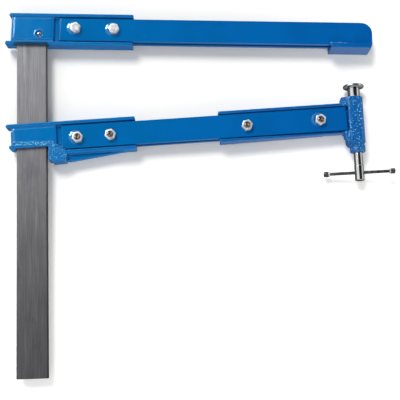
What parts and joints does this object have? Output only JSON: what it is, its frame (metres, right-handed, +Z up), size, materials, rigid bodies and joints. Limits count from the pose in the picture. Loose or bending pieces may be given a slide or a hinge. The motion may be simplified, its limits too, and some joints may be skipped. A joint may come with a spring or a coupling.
{
  "type": "bar clamp",
  "caption": "Deep-throat bar clamp lying on its side: flat steel bar, fixed arm with jaw pad, and sliding arm with clamping screw and swivel pad.",
  "frame": {"origin": "under the middle of the whole clamp as it lies on its side, on the surface that it lies on", "axes": "+X along the arms away from the bar, +Y up the bar to the fixed head, +Z up out of the side that the clamp lies on"},
  "size_m": [0.5229, 0.4952, 0.0316],
  "materials": {
    "cast_paint": "glossy blue enamel on rough castings",
    "plate_paint": "smooth glossy blue enamel on flat steel",
    "bar_steel": "drawn flat steel, dull grey with fine lengthwise grain",
    "zinc": "bright zinc-plated hexagon fasteners",
    "bright_steel": "bare steel pin end",
    "chrome": "chromed screw and pad",
    "dark_steel": "darkened steel rod and pressed caps"
  },
  "bodies": {
    "frame": {"bar": "bar_steel", "fixed_head": "cast_paint", "head_rivet": "bright_steel", "fixed_arm_front_plate": "plate_paint", "fixed_arm_back_plate": "plate_paint", "jaw_pad": "plate_paint", "fixed_arm_bolts": "zinc", "fixed_arm_nuts": "zinc"},
    "sliding_arm": {"sliding_head": "cast_paint", "sliding_arm_front_plate": "plate_paint", "sliding_arm_back_plate": "plate_paint", "screw_bracket": "cast_paint", "sliding_head_bolts": "zinc", "sliding_head_nuts": "zinc", "bracket_bolts": "zinc", "bracket_nuts": "zinc"},
    "pressure_pad": {"swivel_pad": "chrome"},
    "screw": {"spindle": "chrome"},
    "tommy": {"tommy_bar": "dark_steel", "tommy_knob_left": "dark_steel", "tommy_knob_right": "dark_steel"}
  },
  "joints": [
    {"name": "arm_slide", "type": "slide", "parent": "frame", "child": "sliding_arm", "axis": [0, 1, 0], "range_m": [-0.27, 0.032]},
    {"name": "pad_advance", "type": "slide", "parent": "sliding_arm", "child": "pressure_pad", "axis": [0, 1, 0], "range_m": [0, 0.017]},
    {"name": "screw_turn", "type": "hinge", "parent": "pressure_pad", "child": "screw", "pos_m": [0.21372, 0.12037, 0.015], "axis": [0, 1, 0], "range_deg": [0, 2040]},
    {"name": "tommy_slide", "type": "slide", "parent": "screw", "child": "tommy", "axis": [0.9945, 0, 0.1045], "range_m": [-0.033, 0.033]}
  ],
  "couplings": [
    {"joint": "screw_turn", "follows": "pad_advance", "rad_per_m": 2094.4}
  ]
}
